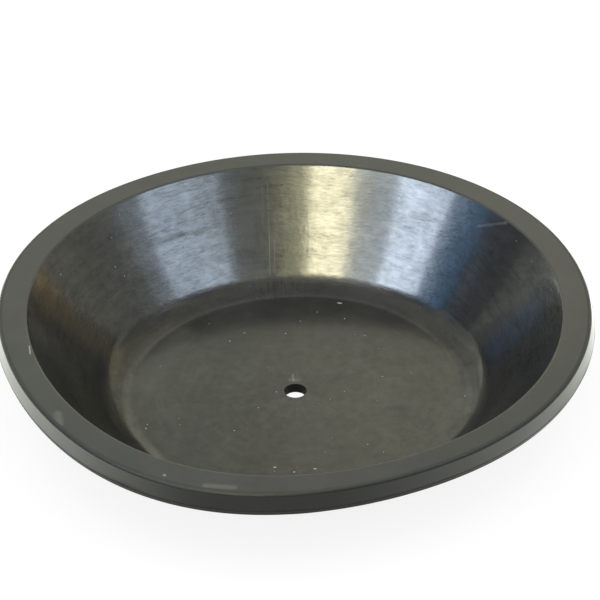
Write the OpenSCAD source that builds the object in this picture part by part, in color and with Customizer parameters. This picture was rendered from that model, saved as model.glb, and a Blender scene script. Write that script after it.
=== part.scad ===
// Moulded rubber cup diaphragm: a flat clamping rim, a sloping wall, a rounded heel and a
// flat floor with one bolt hole. It lies on its floor with its open side up.
// The origin is the middle of the floor's underside and +Z points out of the cup.

/* [Rim] */
// Diameter of the rim's top face, measured at its outer edge
rim_d = 204; // [196:0.5:230]
// Diameter of the mouth, where the rim's top face meets the wall
mouth_d = 186; // [170:0.5:190]
// Thickness of the rim
rim_h = 8; // [5:0.1:12]

/* [Rim edge] */
// How much further out the rim's edge stands at the parting line than at its top face
edge_flare = 1.5; // [0.2:0.1:2]
// How much the edge draws in again between the parting line and the rim's underside
edge_taper = 0.6; // [0.1:0.1:1.5]
// Height of the parting line above the rim's underside
parting_h = 1.9; // [1.2:0.1:3]
// Radius along the edge's upper corner
rim_round = 1.4; // [0.4:0.1:2.5]
// Radius along the edge's lower corner
under_round = 0.5; // [0.2:0.1:1]
// Radius along the mouth
mouth_round = 1.0; // [0.3:0.1:2.5]

/* [Cup] */
// Depth of the cup, from the rim's top face to the floor
cup_depth = 38; // [25:0.5:55]
// Diameter at which the wall and the floor would meet without their corner radius
foot_d = 129; // [100:0.5:140]
// Thickness of the wall
wall_t = 3.75; // [2:0.05:6]
// Thickness of the floor
floor_t = 3.75; // [2:0.05:6]
// Radius of the hollow corner between the wall and the floor
corner_r = 13; // [6:0.5:20]
// Radius of the fillet under the rim, where the wall's outside joins it
root_r = 3; // [1:0.1:5]

/* [Bolt hole] */
// Diameter of the hole in the middle of the floor
hole_d = 8; // [4:0.1:20]

/* [Hidden] */
rubber_colour = [0.19, 0.19, 0.17];
turn_fn = 180;
arc_fn = 96;
bore_fn = 64;
through = 1;
lap = 0.3;

rim_r = rim_d / 2;
mouth_r = mouth_d / 2;
foot_r = foot_d / 2;

rim_z = floor_t + cup_depth;
under_z = rim_z - rim_h;
parting_z = under_z + parting_h;
parting_r = rim_r + edge_flare;
lower_r = parting_r - edge_taper;

// Slope of the wall, measured from the floor.
wall_slope = atan2(cup_depth, mouth_r - foot_r);

// Radius of the wall at a height, on its inside or a distance outward from there.
function wall_r(z, outward = 0) =
    foot_r + (z - floor_t) / tan(wall_slope) + outward / sin(wall_slope);

// The heel follows the hollow corner at the wall's thickness.
heel_r = corner_r + wall_t;

// Corners of the section, before any of them is rounded.
heel = [wall_r(0, wall_t), 0];
root = [wall_r(under_z, wall_t), under_z];
lower = [lower_r, under_z];
parting = [parting_r, parting_z];
crown = [rim_r, rim_z];
mouth = [mouth_r, rim_z];
foot = [foot_r, floor_t];

// Unit vector from one point towards another.
function toward(a, b) = (b - a) / norm(b - a);

// What lies between an outline's corner and the arc that rounds it, reaching a little past
// the corner's two edges. They leave it towards the points a and b.
module corner_piece(corner, a, b, r) {
    u = toward(corner, a);
    v = toward(corner, b);
    half = acos(u * v) / 2;
    centre = corner + toward([0, 0], u + v) * r / sin(half);
    past = (r + lap) / r;
    translate(centre)
        difference() {
            polygon([
                [0, 0],
                (corner + u * r / tan(half) - centre) * past,
                (corner - centre) * past,
                (corner + v * r / tan(half) - centre) * past
            ]);
            circle(r = r, $fn = arc_fn);
        }
}

// The disc that holds the whole section, with the rim's two-way edge and sharp corners.
module blank() {
    polygon([[0, 0], [lower_r, 0], lower, parting, crown, [0, rim_z]]);
}

// The inside of the cup: its slope runs on past the mouth, and its foot is rounded.
module cavity() {
    difference() {
        polygon([
            [0, floor_t],
            foot,
            [wall_r(rim_z + through), rim_z + through],
            [0, rim_z + through]
        ]);
        corner_piece(foot, mouth, [0, floor_t], corner_r);
    }
}

// The space outside the wall and under the rim, with the root between them rounded.
module under_rim() {
    clear_r = parting_r + through;
    difference() {
        polygon([
            [wall_r(-through, wall_t), -through],
            root,
            [clear_r, under_z],
            [clear_r, -through]
        ]);
        corner_piece(root, heel, lower, root_r);
    }
}

// The finished section, from the axis to the rim's edge.
module section() {
    difference() {
        blank();
        cavity();
        under_rim();
        corner_piece(heel, root, [0, 0], heel_r);
        corner_piece(lower, root, parting, under_round);
        corner_piece(crown, parting, mouth, rim_round);
        corner_piece(mouth, crown, foot, mouth_round);
    }
}

// One compression-moulded piece of rubber, turned about the axis and pierced for its bolt.
module diaphragm() {
    color(rubber_colour)
        difference() {
            rotate_extrude($fn = turn_fn) section();
            translate([0, 0, -through])
                cylinder(d = hole_d, h = floor_t + 2 * through, $fn = bore_fn);
        }
}

diaphragm();
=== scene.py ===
"""Diaphragm seal: a moulded rubber cup diaphragm, dressed over its CAD frame.

The cup is one revolved mesh that follows the CAD section and has taken a slight set, as soft
rubber does. Sizes of the part and the camera are in millimetres in the classes below. Those of
the lamps, the cloths and the table are in metres, like everything that goes into Blender.
"""

import logging
import math
from collections.abc import Callable
from dataclasses import dataclass, replace
from enum import Enum

import bpy
from mathutils import Matrix, Vector, noise

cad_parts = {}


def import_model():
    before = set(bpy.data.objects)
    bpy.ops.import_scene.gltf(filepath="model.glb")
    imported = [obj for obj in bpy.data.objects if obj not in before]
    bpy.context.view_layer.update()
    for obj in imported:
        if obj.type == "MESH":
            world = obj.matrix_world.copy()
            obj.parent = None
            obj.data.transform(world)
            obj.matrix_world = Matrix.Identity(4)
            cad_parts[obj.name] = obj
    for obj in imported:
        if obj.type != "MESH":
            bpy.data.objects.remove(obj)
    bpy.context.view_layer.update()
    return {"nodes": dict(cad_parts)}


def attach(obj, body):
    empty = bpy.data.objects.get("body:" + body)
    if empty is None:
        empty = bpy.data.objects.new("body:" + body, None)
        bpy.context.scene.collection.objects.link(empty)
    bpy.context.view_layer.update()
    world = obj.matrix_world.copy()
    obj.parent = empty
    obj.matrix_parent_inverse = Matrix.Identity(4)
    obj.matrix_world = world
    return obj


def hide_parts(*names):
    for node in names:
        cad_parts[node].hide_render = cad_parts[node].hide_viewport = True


MM = 0.001
NODE = "diaphragm"
VECTOR = "NodeSocketVector"
WHITE = (1.0, 1.0, 1.0, 1.0)

Pair = tuple[float, float]
Colour = tuple[float, float, float]
Socket = bpy.types.NodeSocket

log = logging.getLogger("diaphragm_seal")


def along(value: float, start: float, end: float) -> float:
    """Share of the way from a start to an end, held between 0 and 1."""
    return min(1.0, max(0.0, (value - start) / (end - start)))


def wave(theta: float, crest_deg: float) -> float:
    """One at a crest's angle and nothing opposite it, for an angle in radians."""
    return 0.5 + 0.5 * math.cos(theta - math.radians(crest_deg))


def show(data: bpy.types.ID) -> bpy.types.Object:
    """Puts a mesh, a lamp or a camera into the scene.

    Args:
        data: What to show.

    Returns:
        Its object, of the same name.
    """
    shown = bpy.data.objects.new(data.name, data)
    bpy.context.scene.collection.objects.link(shown)
    return shown


def mesh_of(name: str, verts: list[Vector], faces: list[tuple[int, ...]]) -> bpy.types.Mesh:
    """Makes a mesh.

    Args:
        name: Its name.
        verts: Its points in metres.
        faces: The numbers of each face's points.

    Returns:
        The mesh.
    """
    mesh = bpy.data.meshes.new(name)
    mesh.from_pydata(verts, [], faces)
    return mesh


class Zone(Enum):
    """The finish of a stretch of the section; the value is its material index."""

    INSIDE = 0
    LAND = 1
    CROWN = 2
    SIDE = 3
    BORE = 4


@dataclass(frozen=True)
class Corner:
    """A corner of the section, with the finish of its arc and of the run that leaves it."""

    r: float
    z: float
    round_r: float
    arc: Zone
    zone: Zone
    flash: bool = False


@dataclass(frozen=True)
class Station:
    """A point of the sampled section, with its outward direction in the section's plane."""

    r: float
    z: float
    out_r: float
    out_z: float
    zone: Zone
    flash: float = 0.0


@dataclass(frozen=True)
class CupSection:
    """The moulded section, with the CAD part's sizes."""

    rim_r: float = 102.0
    mouth_r: float = 93.0
    foot_r: float = 64.5
    rim_h: float = 8.0
    edge_flare: float = 1.5
    edge_taper: float = 0.6
    parting_h: float = 1.9
    rim_round: float = 1.4
    under_round: float = 0.5
    mouth_round: float = 1.0
    cup_depth: float = 38.0
    wall_t: float = 3.75
    floor_t: float = 3.75
    corner_r: float = 13.0
    root_r: float = 3.0
    hole_r: float = 4.0
    hole_break: float = 0.08
    flash_w: float = 0.3
    flash_tip: float = 0.35
    arc_step: float = 0.7
    arc_step_deg: float = 9.0
    fewest_steps: int = 3
    run_step: float = 2.4
    run_margin: float = 0.3

    @property
    def rim_z(self) -> float:
        """Height of the rim's top face."""
        return self.floor_t + self.cup_depth

    @property
    def slope(self) -> float:
        """Angle of the wall from the floor, in radians."""
        return math.atan2(self.cup_depth, self.mouth_r - self.foot_r)

    def wall_r(self, z: float, outward: float = 0.0) -> float:
        """Radius of the wall at a height and a distance outward from its inside."""
        rise = (z - self.floor_t) / math.tan(self.slope)
        return self.foot_r + rise + outward / math.sin(self.slope)

    def corners(self) -> list[Corner]:
        """The section's corners.

        Returns:
            The closed outline, from the hole's upper edge outward over the rim and back.
        """
        under_z = self.rim_z - self.rim_h
        parting_z = under_z + self.parting_h
        parting_r = self.rim_r + self.edge_flare
        root_r = self.wall_r(under_z, self.wall_t)
        heel_r = self.wall_r(0.0, self.wall_t)
        return [
            Corner(self.hole_r, self.floor_t, self.hole_break, Zone.BORE, Zone.INSIDE),
            Corner(self.foot_r, self.floor_t, self.corner_r, Zone.INSIDE, Zone.INSIDE),
            Corner(self.mouth_r, self.rim_z, self.mouth_round, Zone.LAND, Zone.LAND),
            Corner(self.rim_r, self.rim_z, self.rim_round, Zone.CROWN, Zone.SIDE),
            Corner(parting_r, parting_z, 0.0, Zone.SIDE, Zone.CROWN, flash=True),
            Corner(parting_r - self.edge_taper, under_z, self.under_round, Zone.CROWN, Zone.SIDE),
            Corner(root_r, under_z, self.root_r, Zone.SIDE, Zone.SIDE),
            Corner(heel_r, 0.0, self.corner_r + self.wall_t, Zone.SIDE, Zone.SIDE),
            Corner(self.hole_r, 0.0, self.hole_break, Zone.SIDE, Zone.BORE),
        ]

    def stations(self) -> list[Station]:
        """Samples the outline with its corners rounded.

        Returns:
            The stations in order, closed from the last to the first.
        """
        corners = self.corners()
        found: list[Station] = []
        for i, corner in enumerate(corners):
            before = corners[i - 1]
            after = corners[(i + 1) % len(corners)]
            arc = self._rounded(before, corner, after)
            following = self._rounded(corner, after, corners[(i + 2) % len(corners)])
            found.extend(arc)
            found.extend(self._run(arc[-1], following[0], corner.zone))
        return found

    def _rounded(self, before: Corner, corner: Corner, after: Corner) -> list[Station]:
        """Rounds one corner.

        Args:
            before: The corner before it.
            corner: The corner to round.
            after: The corner after it.

        Returns:
            The stations along its arc, or of its flash where it carries the parting line.
        """
        here = Vector((corner.r, corner.z))
        back = (Vector((before.r, before.z)) - here).normalized()
        ahead = (Vector((after.r, after.z)) - here).normalized()
        out_before = Vector((back.y, -back.x))
        out_after = Vector((-ahead.y, ahead.x))
        if corner.flash:
            lip = []
            for way, tip in ((back, 0.0), (back * self.flash_tip, 1.0),
                             (ahead * self.flash_tip, 1.0), (ahead, 0.0)):
                at = here + way * self.flash_w
                lip.append(Station(at.x, at.y, 1.0, 0.0, corner.zone, tip))
            return lip
        half = back.angle(ahead) / 2
        reach = corner.round_r / math.tan(half)
        centre = here + (back + ahead).normalized() * corner.round_r / math.sin(half)
        start = here + back * reach - centre
        turn = start.angle_signed(here + ahead * reach - centre)
        steps = max(math.degrees(abs(turn)) / self.arc_step_deg,
                    abs(turn) * corner.round_r / self.arc_step)
        steps = max(self.fewest_steps, round(steps))
        sign = 1.0 if out_before.dot(start) > 0 else -1.0
        arc = []
        for k in range(steps + 1):
            spoke = start.copy()
            spoke.rotate(Matrix.Rotation(-turn * k / steps, 2))
            out = spoke.normalized() * sign
            at = centre + spoke
            arc.append(Station(at.x, at.y, out.x, out.y, corner.arc))
        last = arc[-1]
        arc[-1] = Station(last.r, last.z, out_after.x, out_after.y, corner.zone)
        return arc

    def _run(self, start: Station, end: Station, zone: Zone) -> list[Station]:
        """Samples the straight between two arcs, closely at its ends.

        Args:
            start: The last station of the arc before it.
            end: The first station of the arc after it.
            zone: The finish of the run.

        Returns:
            The stations between the two, without them.
        """
        a = Vector((start.r, start.z))
        b = Vector((end.r, end.z))
        length = (b - a).length
        if length < 3 * self.run_margin:
            return []
        inner = length - 2 * self.run_margin
        count = max(1, round(inner / self.run_step))
        ahead = (b - a) / length
        out = Vector((-ahead.y, ahead.x))
        run = []
        for k in range(count + 1):
            at = a + ahead * (self.run_margin + inner * k / count)
            run.append(Station(at.x, at.y, out.x, out.y, zone))
        return run


@dataclass(frozen=True)
class Ripple:
    """One wave around the rim: waves per turn, its height and where it crests."""

    waves: int
    height: float
    crest_deg: float

    def at(self, theta: float) -> float:
        """The wave's value at an angle in radians from +X towards +Y."""
        return self.height * math.cos(self.waves * theta - math.radians(self.crest_deg))


@dataclass(frozen=True)
class RimSet:
    """The set that the soft cup has taken, mostly at its rim: slightly bent and out of round."""

    section: CupSection = CupSection()
    lift: tuple[Ripple, ...] = (
        Ripple(0, -0.26, 0),
        Ripple(1, 1.9, 91),
        Ripple(2, 0.29, 13),
        Ripple(3, 0.37, 89),
        Ripple(4, 0.16, 32),
    )
    spread: tuple[Ripple, ...] = (
        Ripple(2, 2.08, 24),
        Ripple(3, 1.06, 55),
        Ripple(4, 0.87, -79),
        Ripple(5, 0.25, 159),
    )
    shift_x: float = -0.3
    shift_y: float = 1.0
    start_r: float = 58.0
    mouth_share: float = 0.64
    highest: float = 1.15
    foot_power: float = 1.6
    floor_start_r: float = 16.0
    foot_share: float = 0.58
    side_bow: float = 0.9
    bow_power: float = 1.3
    dish: float = 0.55
    dish_power: float = 3.0
    dish_deg: float = 45.0

    def lifted(self, r: float) -> float:
        """How much of the lift reaches a radius.

        Args:
            r: Radius before the set.

        Returns:
            Nothing on the floor, mouth_share at the mouth and one at the rim's outer edge.
        """
        mouth_r = self.section.mouth_r
        climb = along(r, self.start_r, mouth_r)**self.foot_power
        out = max(0.0, (r - mouth_r) / (self.section.rim_r - mouth_r))
        return self.mouth_share * climb + (1.0 - self.mouth_share) * out

    def widened(self, r: float) -> float:
        """How much of the spread reaches a radius.

        Args:
            r: Radius before the set.

        Returns:
            Nothing round the hole, foot_share at the wall's foot, then as for the lift.
        """
        foot_r, mouth_r = self.section.foot_r, self.section.mouth_r
        if r > mouth_r:
            return self.lifted(r)
        rise = (self.mouth_share - self.foot_share) * along(r, foot_r, mouth_r)
        return self.foot_share * along(r, self.floor_start_r, foot_r) + rise

    def bow(self, r: float, theta: float) -> float:
        """How far the wall bows outward at a place, most at the cup's two sides."""
        up = along(r, self.start_r, self.section.mouth_r)
        return self.side_bow * math.cos(theta)**2 * math.sin(math.pi * up**self.bow_power)

    def dished(self, r: float, theta: float) -> float:
        """How far the floor rises towards its edge, most at the cup's back right."""
        rise = min(1.0, r / self.start_r)**self.dish_power * wave(theta, self.dish_deg)**2
        return self.dish * rise * (1.0 - along(r, self.start_r, self.section.mouth_r))

    def move(self, r: float, z: float, theta: float) -> Vector:
        """Carries a point of the section to its place in the set cup.

        Args:
            r: Radius before the set.
            z: Height before the set.
            theta: Angle in radians from +X towards +Y.

        Returns:
            The point in millimetres.
        """
        lifted = self.lifted(r)
        wide = r + self.widened(r) * sum(ripple.at(theta) for ripple in self.spread)
        wide += self.bow(r, theta)
        up = min(self.highest, sum(ripple.at(theta) for ripple in self.lift))
        return Vector((
            wide * math.cos(theta) + lifted * self.shift_x,
            wide * math.sin(theta) + lifted * self.shift_y,
            z + lifted * up + self.dished(r, theta),
        ))


@dataclass(frozen=True)
class Unevenness:
    """How far the hand-finished rubber strays from its drawing."""

    wall_depth: float = 0.05
    wall_length: float = 26.0
    wall_start_r: float = 64.0
    wall_full_r: float = 70.0
    edge_depth: float = 0.1
    edge_length: float = 14.0
    flash_height: float = 0.14
    flash_length: float = 5.0

    def off_wall(self, point: Vector, r: float) -> float:
        """Distance that the wall stands proud of its cone at a point of a radius."""
        rise = along(r, self.wall_start_r, self.wall_full_r)
        return self.wall_depth * rise * noise.noise(point / self.wall_length)

    def off_edge(self, point: Vector) -> float:
        """Distance that the rim's edge stands proud of its cone at a point."""
        return self.edge_depth * noise.noise(point / self.edge_length)

    def flash(self, theta: float, r: float) -> float:
        """Height of the flash at a place on the parting line, torn off unevenly."""
        around = Vector((math.cos(theta), math.sin(theta), 0.0)) * r / self.flash_length
        return self.flash_height * (0.5 + 0.5 * noise.noise(around))**2


class Bench:
    """Adds nodes to one node tree and wires them."""

    def __init__(self, tree: bpy.types.NodeTree) -> None:
        """Keeps the tree that the nodes go into."""
        self.tree = tree

    def feed(self, target: Socket, source: object) -> None:
        """Gives an input its value or wires a socket to it.

        Args:
            target: The input.
            source: A socket, or a plain value.
        """
        if isinstance(source, Socket):
            self.tree.links.new(source, target)
        else:
            target.default_value = source

    def add(self, kind: str, feeds: dict[object, object] | None = None,
            **settings: object) -> bpy.types.Node:
        """Adds a node.

        Args:
            kind: Its Blender type.
            feeds: What its inputs get, by name or number.
            settings: Properties to set on it.

        Returns:
            The node.
        """
        node = self.tree.nodes.new(kind)
        for name, value in settings.items():
            setattr(node, name, value)
        for label, source in (feeds or {}).items():
            self.feed(node.inputs[label], source)
        return node

    def read(self, kind: str, label: str) -> Socket:
        """One output of a node that needs no inputs."""
        return self.add(kind).outputs[label]

    def math(self, operation: str, a: object, b: object = 0.0, c: object = 0.0) -> Socket:
        """The result of a Math node."""
        return self.add("ShaderNodeMath", {0: a, 1: b, 2: c}, operation=operation).outputs[0]

    def plus(self, base: object, a: object, b: object) -> Socket:
        """A base plus the product of two numbers."""
        return self.math("MULTIPLY_ADD", a, b, base)

    def times(self, *factors: object) -> Socket:
        """Multiplies numbers.

        Args:
            factors: Two or more of them.

        Returns:
            The product.
        """
        first, *others = factors
        for factor in others:
            first = self.math("MULTIPLY", first, factor)
        return first

    def held(self, value: object) -> Socket:
        """A number, held between 0 and 1."""
        return self.math("MINIMUM", self.math("MAXIMUM", value, 0.0), 1.0)

    def centred(self, share: object) -> Socket:
        """A share from 0 to 1, stretched to run from -1 to 1."""
        return self.plus(-1.0, share, 2.0)

    def vector(self, operation: str, a: object, b: object = (0.0, 0.0, 0.0)) -> object:
        """The outputs, named Vector and Value, of a Vector Math node."""
        return self.add("ShaderNodeVectorMath", {0: a, 1: b}, operation=operation).outputs

    def scaled(self, a: object, factor: object) -> Socket:
        """A vector times a number."""
        feeds = {0: a, "Scale": factor}
        return self.add("ShaderNodeVectorMath", feeds, operation="SCALE").outputs[0]

    def parts(self, vector: object) -> object:
        """The X, Y and Z of a vector."""
        return self.add("ShaderNodeSeparateXYZ", {0: vector}).outputs

    def noise(self, where: object, scale: object, detail: object, rough: float) -> Socket:
        """Soft noise between 0 and 1 at a place."""
        feeds = {"Vector": where, "Scale": scale, "Detail": detail, "Roughness": rough}
        return self.add("ShaderNodeTexNoise", feeds).outputs[0]

    def ramp(self, value: object, low: object, high: object, to_low: float = 0.0,
             to_high: float = 1.0) -> Socket:
        """Maps low to high smoothly to another range and holds its ends."""
        feeds = {"Value": value, "From Min": low, "From Max": high, "To Min": to_low,
                 "To Max": to_high}
        return self.add("ShaderNodeMapRange", feeds, interpolation_type="SMOOTHSTEP").outputs[0]

    def mix(self, share: object, a: object, b: object) -> Socket:
        """Mixes two numbers by the share of the second."""
        return self.add("ShaderNodeMix", {0: share, 2: a, 3: b}, data_type="FLOAT").outputs[0]

    def tint(self, share: object, a: object, b: object) -> Socket:
        """Mixes two colours by the share of the second."""
        return self.add("ShaderNodeMix", {0: share, 6: a, 7: b}, data_type="RGBA").outputs[2]


class EffectGroup:
    """A shader node group with named inputs and outputs."""

    def __init__(self, name: str, inputs: dict[str, object]) -> None:
        """Makes the group and its inputs.

        Args:
            name: Name of the group.
            inputs: Each input's name and default, a number or a tuple of three.
        """
        self.tree = bpy.data.node_groups.new(name, "ShaderNodeTree")
        self.bench = Bench(self.tree)
        for label, value in inputs.items():
            kind = "NodeSocketFloat" if isinstance(value, float) else VECTOR
            socket = self.tree.interface.new_socket(label, in_out="INPUT", socket_type=kind)
            socket.default_value = value
        self.into = self.bench.add("NodeGroupInput").outputs
        self.out = self.bench.add("NodeGroupOutput").inputs

    def give(self, label: str, source: Socket, kind: str = "NodeSocketFloat") -> None:
        """Adds an output of a kind and wires a socket to it."""
        self.tree.interface.new_socket(label, in_out="OUTPUT", socket_type=kind)
        self.bench.feed(self.out[label], source)

    def place(self, bench: Bench, **values: object) -> bpy.types.NodeOutputs:
        """Places the group in a tree, its inputs named with an underscore for each space."""
        feeds = {label.replace("_", " "): source for label, source in values.items()}
        return bench.add("ShaderNodeGroup", node_tree=self.tree, feeds=feeds).outputs


class RubberEffects:
    """The effects that the rubber's finishes share, each built once."""

    nowhere = (0.0, 0.0, 0.0)
    flatten = (1.0, 1.0, 0.0)
    grain_detail = 1.5
    grain_rough = 0.6
    grain_from = 0.12
    grain_to = 0.88
    bloom_rough = 0.55
    smallest_speck = 0.35
    speck_core = 0.6
    faintest_speck = 0.08
    brightest_speck = 0.8
    bright_from = 0.3
    mark_core = 0.2

    def __init__(self) -> None:
        """Builds the groups."""
        self.position = self._position()
        self.grain = self._grain()
        self.bloom = self._bloom()
        self.dust = self._dust()
        self.mark = self._mark()

    def _position(self) -> EffectGroup:
        """Where a point lies on the turned part, in millimetres, and how level it is there.

        Returns:
            The group.
        """
        group = EffectGroup("Place on the cup", {})
        bench = group.bench
        point = bench.scaled(bench.read("ShaderNodeTexCoord", "Object"), 1 / MM)
        flat = bench.vector("MULTIPLY", point, self.flatten)["Vector"]
        radius = bench.vector("LENGTH", flat)["Value"]
        normal = bench.read("ShaderNodeNewGeometry", "Normal")
        group.give("Point", point, VECTOR)
        group.give("Around", bench.vector("NORMALIZE", flat)["Vector"], VECTOR)
        group.give("Radius", radius)
        group.give("Across", bench.math("ADD", radius, bench.parts(point)["Z"]))
        group.give("Tilt", bench.parts(normal)["Z"])
        return group

    def _grain(self) -> EffectGroup:
        """Marks that run round the part, or up it, from a tool or a cloth.

        Returns:
            The group.
        """
        group = EffectGroup("Turning marks", {"Around": (1.0, 0.0, 0.0), "Across": 0.0,
                                              "Per turn": 6.0, "Per mm": 1.0})
        bench, into = group.bench, group.into
        ring = bench.scaled(into["Around"], into["Per turn"])
        across = bench.add("ShaderNodeCombineXYZ",
                           {"Z": bench.times(into["Across"], into["Per mm"])})
        where = bench.vector("ADD", ring, across.outputs[0])["Vector"]
        cloud = bench.noise(where, 1.0, self.grain_detail, self.grain_rough)
        group.give("Marks", bench.ramp(cloud, self.grain_from, self.grain_to))
        return group

    def _bloom(self) -> EffectGroup:
        """Cloudy patches, as of wax bloom or handling.

        Returns:
            The group.
        """
        group = EffectGroup("Bloom", {"Point": self.nowhere, "Per mm": 0.05, "Low": 0.35,
                                      "High": 0.7, "Detail": 5.0})
        bench, into = group.bench, group.into
        cloud = bench.noise(into["Point"], into["Per mm"], into["Detail"], self.bloom_rough)
        group.give("Patches", bench.ramp(cloud, into["Low"], into["High"]))
        return group

    def _dust(self) -> EffectGroup:
        """Pale specks of dust and chalk.

        Returns:
            The group.
        """
        group = EffectGroup("Dust", {"Point": self.nowhere, "Spacing": 7.0, "Size": 0.3})
        bench, into = group.bench, group.into
        scale = bench.math("DIVIDE", 1.0, into["Spacing"])
        cells = bench.add("ShaderNodeTexVoronoi", {"Vector": into["Point"], "Scale": scale},
                          feature="F1").outputs
        away = bench.times(cells["Distance"], into["Spacing"])
        chance = bench.add("ShaderNodeSeparateColor", {0: cells["Color"]}).outputs
        size = bench.times(into["Size"], bench.math("ADD", chance[1], self.smallest_speck))
        speck = bench.ramp(bench.math("DIVIDE", away, size), 1.0, self.speck_core)
        bright = bench.ramp(chance[2], self.bright_from, 1.0, self.faintest_speck,
                            self.brightest_speck)
        group.give("Specks", bench.times(speck, bright))
        return group

    def _mark(self) -> EffectGroup:
        """One straight mark between two points, soft at its sides.

        Returns:
            The group.
        """
        group = EffectGroup("Single mark", {"Point": self.nowhere, "Start": self.nowhere,
                                            "End": (1.0, 0.0, 0.0), "Width": 0.4})
        bench, into = group.bench, group.into
        length = bench.vector("SUBTRACT", into["End"], into["Start"])["Vector"]
        away = bench.vector("SUBTRACT", into["Point"], into["Start"])["Vector"]
        reach = bench.math("DIVIDE", bench.vector("DOT_PRODUCT", away, length)["Value"],
                           bench.vector("DOT_PRODUCT", length, length)["Value"])
        nearest = bench.scaled(length, bench.held(reach))
        gap = bench.vector("LENGTH", bench.vector("SUBTRACT", away, nearest)["Vector"])["Value"]
        group.give("Mark", bench.ramp(bench.math("DIVIDE", gap, into["Width"]), 1.0,
                                      self.mark_core))
        return group


@dataclass(frozen=True)
class Tone:
    """The look of one stretch of rubber.

    The specular level is 0.5 for an index of 1.5. The rings say how often turning marks change
    around the part and across it, and the dust's size is the radius of its largest specks.
    """

    colour: Colour
    bloom: Colour
    roughness: float = 0.4
    roughness_swing: float = 0.06
    specular: float = 0.5
    coat: float = 0.0
    coat_swing: float = 0.0
    rings: Pair = (5.0, 1.6)
    ring_depth: float = 0.01
    skin_depth: float = 0.01
    brush_depth: float = 0.0
    swell_depth: float = 0.0
    dust_size: float = 0.3
    dust_spacing: float = 7.0


@dataclass(frozen=True)
class MarkOrSheen:
    """A mark on the rubber, or a painted reflection or highlight on it, from one place on the cup
    to another.

    A place is degrees clockwise from the back, then a height on the wall or a radius elsewhere.
    """

    start: Pair
    end: Pair
    width: float
    pale: float = 0.0
    rough: float = 0.0
    colour: Colour = (0.5, 0.5, 0.45)


Marks = tuple[tuple[MarkOrSheen, Vector, Vector], ...]


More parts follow.
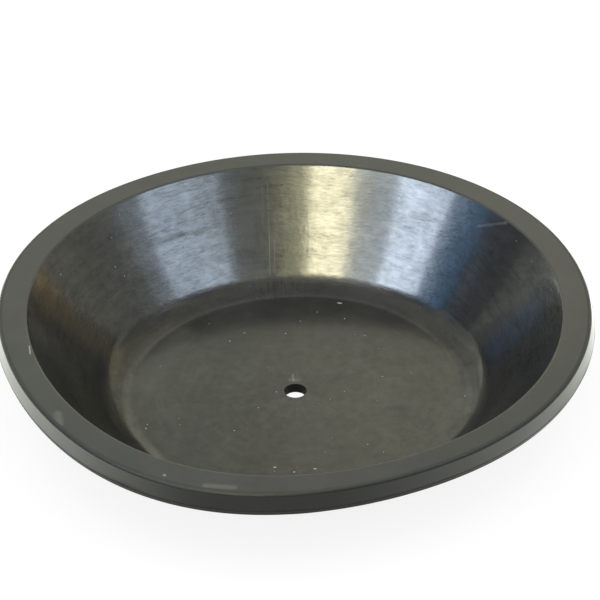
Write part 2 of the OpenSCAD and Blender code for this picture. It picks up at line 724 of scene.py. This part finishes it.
class RubberFinish:
    """Black rubber: tone, bloom, turning marks, skin, dust, single marks and painted reflections
    on one shader.
    """

    dust_colour = (0.5, 0.5, 0.45, 1.0)
    dust_roughness = 0.9
    # Colour of the painted reflection on the fillet's lip.
    lip_sheen_colour = (0.5, 0.48, 0.36, 1.0)
    polish_roughness = 0.13
    fine_cloud = {"Per_mm": 0.35, "Low": 0.3, "High": 0.75, "Detail": 6.0}
    skin_cloud = {"Per_mm": 1.8, "Low": 0.3, "High": 0.7, "Detail": 4.0}
    brushing = (30.0, 0.9)
    wiping = (80.0, 0.06)
    swelling = (9.0, 0.13)
    second_cloud = 0.4
    rings_in_bloom = 0.2
    swell_in_polish = 0.45
    clouds_in_polish = 0.55

    def __init__(self, name: str, tone: Tone, effects: RubberEffects) -> None:
        """Starts the material.

        Args:
            name: Its name.
            tone: Its look.
            effects: The shared effects.
        """
        self.material = bpy.data.materials.new(name)
        self.material.use_nodes = True
        self.bench = Bench(self.material.node_tree)
        self.shader = self.material.node_tree.nodes["Principled BSDF"]
        self.tone = tone
        self.effects = effects
        self.place = effects.position.place(self.bench)

    def turned(self, per_turn: float, per_mm: float) -> Socket:
        """Marks that change so often around the part and across it."""
        return self.effects.grain.place(
            self.bench, Around=self.place["Around"], Across=self.place["Across"],
            Per_turn=per_turn, Per_mm=per_mm)["Marks"]

    def clouded(self, **cloud: float) -> Socket:
        """Cloudy patches, with some of the bloom's inputs set."""
        return self.effects.bloom.place(self.bench, Point=self.place["Point"], **cloud)["Patches"]

    def finish(self, other: Tone | None = None, share: object = 0.0, marks_and_sheens: Marks = (),
               wiped: object = 0.0, painted_lip_sheen: object = 0.0) -> bpy.types.Material:
        """Wires the whole finish.

        Args:
            other: A second look that the first blends into.
            share: Share of the second look.
            marks_and_sheens: Single marks, both real ones and painted reflections and highlights,
                each with its two ends in millimetres.
            wiped: How strongly fine wiping lines that run up the wall show.
            painted_lip_sheen: Share of a pale tint on the fillet's lip, a painted reflection.

        Returns:
            The material.
        """
        bench, tone = self.bench, self.tone
        other = other or tone
        patches = self.clouded()
        fine = self.clouded(**self.fine_cloud)
        skin = self.clouded(**self.skin_cloud)
        turning = self.turned(*tone.rings)
        brushed = self.turned(*self.brushing)
        lines = self.turned(*self.wiping)
        swell = self.turned(*self.swelling)
        dust = self.effects.dust.place(bench, Point=self.place["Point"], Size=tone.dust_size,
                                       Spacing=tone.dust_spacing)["Specks"]

        def both(pick: str) -> Socket:
            """A number of the look, blended between the two tones."""
            return bench.mix(share, getattr(tone, pick), getattr(other, pick))

        def both_colours(pick: str) -> Socket:
            """A colour of the look, blended between the two tones."""
            return bench.tint(share, (*getattr(tone, pick), 1.0), (*getattr(other, pick), 1.0))

        patchy = bench.mix(self.second_cloud, patches, fine)
        clouds = bench.mix(self.rings_in_bloom, patchy, turning)
        colour = bench.tint(clouds, both_colours("colour"), both_colours("bloom"))
        # Painted reflection: a pale band tints the colour on the fillet's lip.
        colour = bench.tint(painted_lip_sheen, colour, self.lip_sheen_colour)
        swing = bench.centred(bench.mix(0.5, clouds, turning))
        rough = bench.plus(both("roughness"), swing, both("roughness_swing"))
        # Single marks tint the colour: real scratches, specks and smudges, and painted
        # reflections and highlights.
        for mark_or_sheen, start, end in marks_and_sheens:
            mark = self.effects.mark.place(bench, Point=self.place["Point"], Start=start,
                                           End=end, Width=mark_or_sheen.width)["Mark"]
            if mark_or_sheen.pale:
                colour = bench.tint(bench.times(mark, mark_or_sheen.pale), colour,
                                    (*mark_or_sheen.colour, 1.0))
            if mark_or_sheen.rough:
                rough = bench.plus(rough, mark, mark_or_sheen.rough)
        cloudy = bench.mix(self.swell_in_polish, bench.mix(self.second_cloud, fine, patches),
                           swell)
        streaks = bench.mix(self.clouds_in_polish, bench.mix(0.5, turning, brushed), cloudy)
        polish = bench.plus(both("coat"), bench.centred(streaks), both("coat_swing"))
        polish = bench.plus(polish, wiped, bench.math("SUBTRACT", lines, 0.5))
        height = 0.0
        for relief, depth in ((turning, "ring_depth"), (skin, "skin_depth"),
                              (brushed, "brush_depth"), (swell, "swell_depth")):
            height = bench.plus(height, relief, both(depth))
        bump = bench.add("ShaderNodeBump", {"Height": height, "Distance": MM, "Strength": 1.0})
        for label, source in (
            ("Base Color", bench.tint(dust, colour, self.dust_colour)),
            ("Roughness", bench.mix(dust, rough, self.dust_roughness)),
            ("Specular IOR Level", tone.specular),
            ("Coat Weight", bench.held(bench.times(polish, bench.math("SUBTRACT", 1.0, dust)))),
            ("Coat Roughness", self.polish_roughness),
            ("Normal", bump.outputs[0]),
        ):
            bench.feed(self.shader.inputs[label], source)
        return self.material


@dataclass(frozen=True)
class CupDiaphragm:
    """The moulded cup: its set and unevenness, its marks and its finishes."""

    rim_set: RimSet = RimSet()
    unevenness: Unevenness = Unevenness()
    segments: int = 360
    wall: Tone = Tone(colour=(0.009, 0.009, 0.0085), bloom=(0.014, 0.014, 0.0125),
                      roughness=0.3, roughness_swing=0.05, coat=0.62, coat_swing=0.85,
                      rings=(4.0, 0.45), ring_depth=0.0008, skin_depth=0.0015,
                      brush_depth=0.04, swell_depth=0.09, dust_size=0.25, dust_spacing=4.4)
    floor: Tone = Tone(colour=(0.018, 0.018, 0.0175), bloom=(0.028, 0.028, 0.026),
                       roughness=0.17, roughness_swing=0.04, coat=0.33, coat_swing=0.5,
                       ring_depth=0.001, skin_depth=0.002)
    land: Tone = Tone(colour=(0.049, 0.051, 0.047), bloom=(0.063, 0.066, 0.061),
                      roughness=0.3, roughness_swing=0.03, ring_depth=0.0,
                      skin_depth=0.004, dust_size=0.2)
    # The crown's colour runs with its tilt. It starts from this tone, a little lighter than the
    # land's, where it faces up, and ends at a dark foot where it turns down. This is partly the
    # change to the side's rubber and partly painted shade.
    crown: Tone = Tone(colour=(0.056, 0.059, 0.051), bloom=(0.066, 0.07, 0.061),
                       roughness=0.5, roughness_swing=0.05, specular=0.15, ring_depth=0.0,
                       skin_depth=0.006, dust_size=0.15)
    side: Tone = Tone(colour=(0.005, 0.0055, 0.004), bloom=(0.009, 0.0095, 0.007),
                      roughness=0.22, roughness_swing=0.08, specular=0.42,
                      ring_depth=0.004, skin_depth=0.008, dust_size=0.2)
    # Painted shade: the bore's near-black colour and weak gloss keep the hole's wall as dark as
    # the shade in it.
    bore: Tone = Tone(colour=(0.002, 0.003, 0.003), bloom=(0.004, 0.005, 0.005),
                      roughness=0.5, specular=0.1, skin_depth=0.004, dust_size=0.1)
    crown_shaded_foot: Colour = (0.021, 0.022, 0.019)
    crown_foot_roughness: float = 0.45
    crown_shade_tilt: Pair = (0.93, 0.55)
    floor_blend_r: Pair = (58.0, 67.0)
    wiped_from: Pair = (-5.0, 8.0)
    wiped_to: Pair = (-3.0, 24.0)
    wiped_width: float = 16.0
    wiped_strength: float = 1.3
    # A faint pale band on the fillet's lip, a painted reflection of the cup's own wall.
    lip_sheen_rises_r: Pair = (61.0, 65.5)
    lip_sheen_falls_r: Pair = (70.0, 67.0)
    lip_sheen_share: float = 0.02
    wall_marks: tuple[MarkOrSheen, ...] = (
        MarkOrSheen((-6.3, 37.1), (-7.4, 13.7), 0.22, pale=0.08),
        MarkOrSheen((-7.1, 20.5), (-7.9, 8.5), 0.22, pale=0.12),
        MarkOrSheen((-5.7, 19.2), (-6.2, 8.9), 0.2, pale=0.1),
        MarkOrSheen((-7.7, 36.0), (-8.6, 22.5), 0.3, rough=0.2),
        MarkOrSheen((-42.0, 26.4), (-32.0, 26.0), 2.1, rough=0.2),
        MarkOrSheen((-32.0, 26.0), (-23.6, 24.9), 1.6, rough=0.17),
        MarkOrSheen((50.6, 35.5), (57.2, 40.7), 0.8, pale=0.1),
        MarkOrSheen((57.2, 40.7), (59.5, 43.5), 0.8, pale=0.08),
        # These five broad faint tints are painted reflections of the studio on the side walls:
        # pale ones, a blue one and a warm one.
        MarkOrSheen((71.0, 9.0), (77.0, 27.0), 9.0, pale=0.035),
        MarkOrSheen((77.0, 27.0), (85.0, 38.0), 7.0, pale=0.03),
        MarkOrSheen((80.0, 15.0), (83.0, 29.0), 10.0, pale=0.06, colour=(0.04, 0.17, 0.42)),
        MarkOrSheen((-81.0, 38.0), (-75.0, 12.0), 11.0, pale=0.035, colour=(0.6, 0.42, 0.14)),
        MarkOrSheen((-95.0, 34.0), (-98.0, 24.0), 12.0, pale=0.02),
    )
    floor_marks: tuple[MarkOrSheen, ...] = (
        MarkOrSheen((17.2, 57.0), (18.4, 57.0), 0.5, pale=0.9),
        MarkOrSheen((-170.6, 43.7), (-170.0, 43.7), 0.4, pale=1.0),
        MarkOrSheen((-179.3, 46.2), (-178.9, 46.2), 0.36, pale=0.9),
        MarkOrSheen((171.4, 45.5), (171.9, 45.5), 0.4, pale=1.0),
        MarkOrSheen((-111.7, 57.0), (-111.2, 57.0), 0.4, pale=0.5),
        MarkOrSheen((38.0, 42.0), (38.6, 42.0), 0.35, pale=0.4),
        MarkOrSheen((-28.0, 41.0), (-27.4, 41.0), 0.35, pale=0.35),
        MarkOrSheen((-14.0, 60.5), (-13.6, 60.5), 0.35, pale=0.4),
        MarkOrSheen((-14.0, 6.6), (9.0, 6.6), 1.6, pale=0.1, rough=0.08),
        MarkOrSheen((-84.0, 54.0), (-50.0, 54.5), 7.5, pale=0.035),
        # Painted reflection: a broad faint pale band on the fillet at the right.
        MarkOrSheen((82.0, 63.0), (103.0, 63.5), 4.0, pale=0.05),
        MarkOrSheen((-6.0, 6.0), (-5.0, 9.6), 0.6, pale=0.16),
    )
    land_marks: tuple[MarkOrSheen, ...] = (
        MarkOrSheen((-127.0, 98.5), (-129.6, 100.7), 2.2, pale=0.11),
        MarkOrSheen((-103.9, 93.6), (-106.6, 94.2), 0.4, pale=0.55),
        MarkOrSheen((-155.4, 99.3), (-155.2, 99.3), 0.7, pale=0.4),
        # Painted highlight: a soft pale streak on the land near the front, left of centre.
        MarkOrSheen((-163.4, 100.0), (-168.7, 99.4), 1.5, pale=0.11),
    )

    @property
    def section(self) -> CupSection:
        """The cup's section, which its set carries."""
        return self.rim_set.section

    def surface(self, station: Station, theta: float) -> Vector:
        """A point of the finished surface.

        Args:
            station: Its place in the section.
            theta: Angle in radians from +X towards +Y.

        Returns:
            The point in millimetres.
        """
        rough = self.unevenness
        true = Vector((station.r * math.cos(theta), station.r * math.sin(theta), station.z))
        proud = 0.0
        if station.zone is Zone.INSIDE:
            proud = rough.off_wall(true, station.r)
        elif station.zone is Zone.SIDE and station.r > self.section.mouth_r:
            proud = rough.off_edge(true)
        if station.flash:
            proud += station.flash * rough.flash(theta, station.r)
        r = station.r + station.out_r * proud
        z = station.z + station.out_z * proud
        return self.rim_set.move(r, z, theta)

    def mesh(self) -> bpy.types.Object:
        """Builds the cup as one closed, smooth mesh.

        Returns:
            The object, each face numbered by its zone for the materials still to come.
        """
        stations = self.section.stations()
        rings = len(stations)
        verts = []
        for j in range(self.segments):
            theta = math.tau * j / self.segments
            verts.extend(self.surface(station, theta) * MM for station in stations)
        faces = []
        zones = []
        for j in range(self.segments):
            here = j * rings
            there = (j + 1) % self.segments * rings
            for i in range(rings):
                k = (i + 1) % rings
                faces.append((here + i, here + k, there + k, there + i))
                zones.append(stations[i].zone.value)
        mesh = mesh_of("cup_diaphragm", verts, faces)
        mesh.polygons.foreach_set("material_index", zones)
        mesh.polygons.foreach_set("use_smooth", [True] * len(faces))
        mesh.update()
        return show(mesh)

    def on_wall(self, degrees: float, z: float) -> Vector:
        """The point of the wall at degrees clockwise from the back and a height."""
        return self.rim_set.move(self.section.wall_r(z), z, math.radians(90.0 - degrees))

    def on_flat(self, degrees: float, r: float) -> Vector:
        """The point of the floor or the rim's top at degrees clockwise from the back."""
        level = self.section.floor_t if r < self.section.foot_r else self.section.rim_z
        return self.rim_set.move(r, level, math.radians(90.0 - degrees))

    @staticmethod
    def placed(marks: tuple[MarkOrSheen, ...], where: Callable[[float, float], Vector]) -> Marks:
        """Single marks with their ends in place, in millimetres."""
        return tuple((mark, where(*mark.start), where(*mark.end)) for mark in marks)

    def dress(self, cup: bpy.types.Object, effects: RubberEffects) -> None:
        """Gives the cup its finishes.

        Args:
            cup: The cup's object.
            effects: The shared effects.
        """
        inside = RubberFinish("polished cup rubber", self.wall, effects)
        land = RubberFinish("clamping land rubber", self.land, effects)
        crown = RubberFinish("crown rubber with painted shade", self.crown, effects)
        side = RubberFinish("moulded side rubber", self.side, effects)
        bore = RubberFinish("bore rubber with painted shade", self.bore, effects)
        bench, radius = inside.bench, inside.place["Radius"]
        cloth = effects.mark.place(bench, Point=inside.place["Point"],
                                   Start=self.on_wall(*self.wiped_from),
                                   End=self.on_wall(*self.wiped_to), Width=self.wiped_width)
        # Painted reflection: a faint pale band on the fillet's lip.
        painted_lip_sheen = bench.times(bench.ramp(radius, *self.lip_sheen_rises_r),
                           bench.ramp(radius, *self.lip_sheen_falls_r), self.lip_sheen_share)
        foot = replace(self.side, colour=self.crown_shaded_foot, bloom=self.crown_shaded_foot,
                       roughness=self.crown_foot_roughness)
        marks = (self.placed(self.wall_marks, self.on_wall)
                 + self.placed(self.floor_marks, self.on_flat))
        made = {
            Zone.INSIDE: inside.finish(other=self.floor, marks_and_sheens=marks, painted_lip_sheen=painted_lip_sheen,
                                       share=bench.ramp(radius, *self.floor_blend_r, 1.0, 0.0),
                                       wiped=bench.times(cloth["Mark"], self.wiped_strength)),
            Zone.LAND: land.finish(marks_and_sheens=self.placed(self.land_marks, self.on_flat)),
            # Partly painted shade: the crown darkens from its own tone to the dark foot as it
            # turns down.
            Zone.CROWN: crown.finish(other=foot, share=crown.bench.ramp(crown.place["Tilt"],
                                                                        *self.crown_shade_tilt)),
            Zone.SIDE: side.finish(),
            Zone.BORE: bore.finish(),
        }
        for zone in Zone:
            cup.data.materials.append(made[zone])

    def build(self, effects: RubberEffects) -> bpy.types.Object:
        """Builds, dresses and places the cup on the frame.

        Args:
            effects: The shared effects.

        Returns:
            The cup.
        """
        cup = self.mesh()
        self.dress(cup, effects)
        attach(cup, "root")
        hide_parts(NODE)
        log.info("cup diaphragm: %d faces", len(cup.data.polygons))
        return cup


def bearing(azimuth_deg: float, elevation_deg: float) -> Vector:
    """A direction from the cup.

    Args:
        azimuth_deg: Degrees from the camera's side (-Y) to its right (+X).
        elevation_deg: Degrees above the floor.

    Returns:
        The unit vector.
    """
    azimuth = math.radians(azimuth_deg)
    elevation = math.radians(elevation_deg)
    return Vector((
        math.sin(azimuth) * math.cos(elevation),
        -math.cos(azimuth) * math.cos(elevation),
        math.sin(elevation),
    ))


def hang_lamp(name: str, where: Pair, size: Pair, radiance: float, colour: Colour,
              distance: float) -> bpy.types.Object:
    """Hangs a flat lamp that faces the cup and that the camera doesn't see.

    Args:
        name: Its name.
        where: Its azimuth and elevation in degrees.
        size: Its width and height.
        radiance: Its brightness.
        colour: Its colour.
        distance: How far from the cup it hangs.

    Returns:
        The lamp.
    """
    lamp = bpy.data.lights.new(name, "AREA")
    lamp.shape = "RECTANGLE"
    lamp.size, lamp.size_y = size
    lamp.energy = radiance * math.pi * lamp.size * lamp.size_y
    lamp.color = colour
    hung = show(lamp)
    towards = bearing(*where)
    hung.location = towards * distance
    hung.rotation_euler = towards.to_track_quat("Z", "Y").to_euler()
    hung.visible_camera = False
    return hung


def bare_material(name: str) -> tuple[bpy.types.Material, Bench]:
    """Makes an empty material.

    Args:
        name: Its name.

    Returns:
        The material and the bench that fills it.
    """
    material = bpy.data.materials.new(name)
    material.use_nodes = True
    material.node_tree.nodes.clear()
    return material, Bench(material.node_tree)


@dataclass(frozen=True)
class SoftBox:
    """A soft box between two bearings, which shows only in the rubber's gloss.

    Above its upper edge it spills a little light. Its lower edge and its left side may be
    brighter or dimmer than the rest.
    """

    name: str
    left_deg: float
    right_deg: float
    low_deg: float
    high_deg: float
    radiance: float
    colour: Colour
    spill: float = 0.15
    spill_deg: float = 14.0
    low_share: float = 1.0
    left_share: float = 1.0
    soft_deg: float = 3.0
    distance: float = 1.7

    def hang(self) -> None:
        """Makes the lamp and shades it over its face."""
        top_deg = self.high_deg + self.spill_deg
        elevation_deg = (self.low_deg + top_deg) / 2
        half_width = math.radians(self.right_deg - self.left_deg) / 2
        half_height = math.radians(top_deg - self.low_deg) / 2
        narrowed = math.cos(math.radians(elevation_deg))
        box = hang_lamp(self.name, ((self.left_deg + self.right_deg) / 2, elevation_deg),
                        (2 * self.distance * math.tan(half_width) * narrowed,
                         2 * self.distance * math.tan(half_height)),
                        self.radiance, self.colour, self.distance)
        box.visible_diffuse = False

        def share(elevation: float) -> float:
            """How far up the lamp an elevation lies, from 0 to 1."""
            off = math.radians(elevation - elevation_deg)
            return 0.5 + 0.5 * math.tan(off) / math.tan(half_height)

        box.data.use_nodes = True
        tree = box.data.node_tree
        bench = Bench(tree)
        face = bench.parts(bench.read("ShaderNodeNewGeometry", "Parametric"))
        edge = bench.ramp(face["Y"], share(self.high_deg - self.soft_deg),
                          share(self.high_deg + self.soft_deg), 1.0, 0.0)
        body = bench.times(edge,
                           bench.ramp(face["Y"], 0.0, share(self.high_deg), self.low_share),
                           bench.ramp(face["X"], 0.0, 1.0, self.left_share))
        tail = bench.ramp(face["Y"], share(self.high_deg), 1.0, self.spill, 0.0)
        bench.feed(tree.nodes["Emission"].inputs["Strength"], bench.math("MAXIMUM", body, tail))


@dataclass(frozen=True)
class RoomLight:
    """A broad lamp that lights the rubber's matt body and doesn't show in its gloss."""

    name: str
    azimuth_deg: float
    elevation_deg: float
    size_deg: float
    radiance: float
    colour: Colour = (1.0, 1.0, 1.0)
    distance: float = 1.7

    def hang(self) -> None:
        """Makes the lamp."""
        size = 2 * self.distance * math.tan(math.radians(self.size_deg) / 2)
        light = hang_lamp(self.name, (self.azimuth_deg, self.elevation_deg), (size, size),
                          self.radiance, self.colour, self.distance)
        light.visible_glossy = False


@dataclass(frozen=True)
class Cloth:
    """A cloth hung round the cup at a distance, which only the rubber's gloss sees.

    It may fade to a second colour between two elevations.
    """

    name: str
    left_deg: float
    right_deg: float
    low_deg: float
    high_deg: float
    colour: Colour
    upper: Colour | None = None
    fade_low_deg: float = 5.0
    fade_high_deg: float = 40.0
    distance: float = 2.6
    columns: int = 24
    rows: int = 10

    def woven(self) -> bpy.types.Mesh:
        """Makes the cloth's mesh.

        Returns:
            The mesh, a patch of a sphere round the cup.
        """
        verts = []
        for j in range(self.rows + 1):
            height = self.low_deg + (self.high_deg - self.low_deg) * j / self.rows
            for i in range(self.columns + 1):
                around = self.left_deg + (self.right_deg - self.left_deg) * i / self.columns
                verts.append(bearing(around, height) * self.distance)
        faces = []
        for j in range(self.rows):
            for i in range(self.columns):
                a = j * (self.columns + 1) + i
                faces.append((a, a + 1, a + self.columns + 2, a + self.columns + 1))
        return mesh_of(self.name, verts, faces)

    def hang(self) -> None:
        """Makes the cloth and hides it from camera, diffuse, shadow and transmission rays."""
        material, bench = bare_material(self.name.replace("_", " "))
        height = bench.parts(bench.read("ShaderNodeTexCoord", "Object"))["Z"]
        low, high = (self.distance * math.sin(math.radians(deg))
                     for deg in (self.fade_low_deg, self.fade_high_deg))
        shade = bench.tint(bench.ramp(height, low, high), (*self.colour, 1.0),
                           (*(self.upper or self.colour), 1.0))
        glow = bench.add("ShaderNodeEmission", {"Color": shade})
        bench.add("ShaderNodeOutputMaterial", {"Surface": glow.outputs[0]})
        cloth = show(self.woven())
        cloth.data.materials.append(material)
        cloth.visible_camera = False
        cloth.visible_diffuse = False
        cloth.visible_shadow = False
        cloth.visible_transmission = False


@dataclass(frozen=True)
class PhotoCamera:
    """The photograph's camera, aimed close to the middle of the rim."""

    rim_height: float = 41.75
    distance: float = 816.0
    elevation_deg: float = 35.49
    pan: float = 0.00246
    tilt: float = 0.00216
    roll: float = -0.01185
    focal_px: float = 2320.4
    frame_px: float = 600.0
    sensor: float = 36.0
    farthest: float = 50.0

    def place(self) -> None:
        """Makes the camera and gives it to the scene."""
        elevation = math.radians(self.elevation_deg)
        back = Vector((0.0, -math.cos(elevation), math.sin(elevation)))
        right = Vector((1.0, 0.0, 0.0))
        up = right.cross(-back)
        ahead = (-back + self.pan * right + self.tilt * up).normalized()
        side = ahead.cross(up).normalized()
        level = Matrix((side, side.cross(ahead), -ahead)).transposed()
        data = bpy.data.cameras.new("photo_camera")
        data.sensor_width = self.sensor
        data.lens = self.focal_px / self.frame_px * self.sensor
        data.clip_end = self.farthest
        camera = show(data)
        turn = (level @ Matrix.Rotation(self.roll, 3, "Z")).to_4x4()
        spot = (Vector((0.0, 0.0, self.rim_height)) + back * self.distance) * MM
        camera.matrix_world = Matrix.Translation(spot) @ turn
        bpy.context.scene.camera = camera


@dataclass(frozen=True)
class Studio:
    """A white table in a pale studio whose camera side is dim."""

    table_half: float = 6.0
    table_drop: float = 0.0002
    table_glow: float = 0.85
    table_share: float = 0.2
    table_tint: Colour = (1.0, 1.03, 0.94)
    sky_diffuse: float = 0.55
    left_glow: float = 2.6
    left_x: Pair = (-0.07, -0.2)
    right_glow: float = 1.8
    right_x: Pair = (0.03, 0.18)
    beside_y: Pair = (-0.35, -0.05)
    boxes: tuple[SoftBox, ...] = (
        SoftBox("pale_box", 36.2, 51.5, 20.0, 43.5, 6.5, (0.82, 0.98, 1.15), spill=0.25,
                low_share=1.15, soft_deg=5.0),
        SoftBox("pale_box_side", 50.5, 70.3, 20.0, 40.0, 6.4, (0.83, 1.0, 1.2),
                low_share=1.3),
        SoftBox("pale_edge", 70.0, 80.0, 20.0, 34.0, 1.5, (0.86, 0.98, 1.05)),
        SoftBox("dim_panel", 7.0, 37.5, 20.0, 55.0, 0.8, (0.95, 1.0, 0.88), spill_deg=4.0),
        SoftBox("warm_halo", -14.0, 8.6, 20.0, 46.5, 1.9, (0.97, 1.03, 0.52), spill=0.4,
                low_share=0.65),
        SoftBox("warm_box", -27.2, -6.5, 20.0, 47.5, 21.2, (1.08, 1.0, 0.68), spill=0.2,
                low_share=0.92, left_share=0.92),
        SoftBox("grey_box", -49.0, -27.5, 20.0, 46.0, 4.2, (0.84, 0.98, 1.06), spill=0.4),
        SoftBox("cool_box_near", -62.0, -48.5, 20.0, 44.5, 16.0, (0.84, 0.98, 1.16),
                spill=0.2, low_share=0.75, soft_deg=5.0),
        SoftBox("cool_box", -73.0, -62.0, 20.0, 40.0, 13.4, (0.84, 0.98, 1.16)),
        SoftBox("blue_panel", -92.5, -73.0, 16.0, 41.0, 1.7, (0.13, 0.47, 0.98)),
    )
    lights: tuple[RoomLight, ...] = (
        RoomLight("key_light", -30.0, 55.0, 50.0, 1.6, (1.0, 1.0, 0.98)),
        RoomLight("fill_light", 50.0, 50.0, 50.0, 1.0),
    )
    cloths: tuple[Cloth, ...] = (
        Cloth("dark_front", -94.0, 78.0, 4.0, 58.0, (0.02, 0.02, 0.02)),
        Cloth("dark_right", -113.0, -94.0, 4.0, 22.0, (0.13, 0.13, 0.15)),
        Cloth("grey_right", -125.0, -94.0, 22.0, 58.0, (0.55, 0.57, 0.54)),
        Cloth("low_right", -125.0, -113.0, 3.0, 22.0, (0.7, 0.72, 0.65)),
        Cloth("pale_left", 78.0, 92.0, 27.0, 58.0, (0.8, 0.82, 0.75)),
        Cloth("grey_left", 92.0, 126.0, 27.0, 58.0, (0.3, 0.31, 0.27)),
        Cloth("low_left", 78.0, 126.0, 3.0, 27.0, (0.8, 0.8, 0.68)),
        Cloth("brown_left", 126.0, 146.0, 3.0, 17.0, (1.05, 0.78, 0.36)),
        Cloth("cream_left", 126.0, 150.0, 17.0, 58.0, (1.0, 0.92, 0.6), (0.45, 0.43, 0.33),
              24.0, 44.0),
        Cloth("back_right", 150.0, 166.0, 1.0, 58.0, (1.15, 1.05, 0.75), (0.7, 0.68, 0.5),
              5.0, 24.0),
        Cloth("cream_back_right", 166.0, 180.0, 1.0, 44.0, (1.7, 1.7, 1.15),
              (1.18, 1.15, 0.88), 4.0, 22.0),
        Cloth("cream_back_left", 180.0, 196.0, 1.0, 44.0, (1.6, 1.63, 1.1),
              (0.9, 0.93, 0.74), 4.0, 22.0),
        Cloth("back_left", 196.0, 210.0, 1.0, 58.0, (1.3, 1.3, 1.0), (0.6, 0.62, 0.52),
              5.0, 24.0),
        Cloth("cream_right", 210.0, 226.0, 3.0, 58.0, (1.9, 1.95, 1.55), (0.55, 0.57, 0.5),
              14.0, 30.0),
        Cloth("cream_far_right", 226.0, 235.0, 3.0, 58.0, (0.8, 0.82, 0.7), (0.75, 0.77, 0.66),
              12.0, 24.0),
        Cloth("high_back", 166.0, 196.0, 44.0, 58.0, (0.62, 0.62, 0.54)),
        Cloth("ceiling", -180.0, 180.0, 58.0, 90.0, (0.5, 0.5, 0.46)),
    )

    def _seen(self, bench: Bench) -> Socket:
        """Picks the rays that show the background.

        Args:
            bench: Where the nodes go.

        Returns:
            One for camera, glossy and transmission rays.
        """
        path = bench.add("ShaderNodeLightPath").outputs
        mirrored = bench.math("MAXIMUM", path["Is Glossy Ray"], path["Is Transmission Ray"])
        return bench.math("MAXIMUM", path["Is Camera Ray"], mirrored)

    def _table_light(self, bench: Bench) -> Socket:
        """Sets how bright the table is.

        Args:
            bench: Where the nodes go.

        Returns:
            Its level, higher at the cup's sides, where only the gloss looks.
        """
        place = bench.parts(bench.read("ShaderNodeTexCoord", "Object"))
        left = bench.ramp(place["X"], *self.left_x, 0.0, self.left_glow)
        right = bench.ramp(place["X"], *self.right_x, 0.0, self.right_glow)
        beside = bench.times(bench.math("ADD", left, right),
                             bench.ramp(place["Y"], *self.beside_y))
        gloss = bench.read("ShaderNodeLightPath", "Is Glossy Ray")
        return bench.plus(self.table_glow, gloss, beside)

    def sky(self) -> None:
        """Makes the world: white where it is seen, and a plain level of light."""
        world = bpy.data.worlds.new("studio_air")
        bpy.context.scene.world = world
        world.use_nodes = True
        bench = Bench(world.node_tree)
        background = world.node_tree.nodes["Background"].inputs
        bench.feed(background["Color"], WHITE)
        bench.feed(background["Strength"], bench.mix(self._seen(bench), self.sky_diffuse, 1.0))

    def table(self) -> None:
        """Makes the white table."""
        half = self.table_half
        corners = [(-half, -half, 0), (half, -half, 0), (half, half, 0), (-half, half, 0)]
        table = show(mesh_of("table", corners, [(0, 1, 2, 3)]))
        table.location.z = -self.table_drop
        paper, bench = bare_material("white table")
        shade = self.table_share
        matt = bench.add("ShaderNodeBsdfDiffuse", {"Color": (shade, shade, shade, 1.0)})
        gloss = bench.read("ShaderNodeLightPath", "Is Glossy Ray")
        glow = bench.add("ShaderNodeEmission", {
            "Color": bench.tint(gloss, WHITE, (*self.table_tint, 1.0)),
            "Strength": bench.times(self._seen(bench), self._table_light(bench)),
        })
        both = bench.add("ShaderNodeAddShader", {0: matt.outputs[0], 1: glow.outputs[0]})
        bench.add("ShaderNodeOutputMaterial", {"Surface": both.outputs[0]})
        table.data.materials.append(paper)

    def build(self) -> None:
        """Sets up the whole studio."""
        self.sky()
        self.table()
        for cloth in self.cloths:
            cloth.hang()
        for lamp in (*self.boxes, *self.lights):
            lamp.hang()
        bpy.context.scene.view_settings.view_transform = "Standard"
        log.info("studio: %d lamps", len(self.boxes) + len(self.lights))


def main() -> None:
    """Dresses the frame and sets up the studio."""
    logging.basicConfig(level=logging.INFO, format="%(name)s: %(message)s")
    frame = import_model()
    log.info("frame: nodes %s", ", ".join(sorted(frame["nodes"])))
    PhotoCamera().place()
    CupDiaphragm().build(RubberEffects())
    Studio().build()


if __name__ == "__main__":
    main()
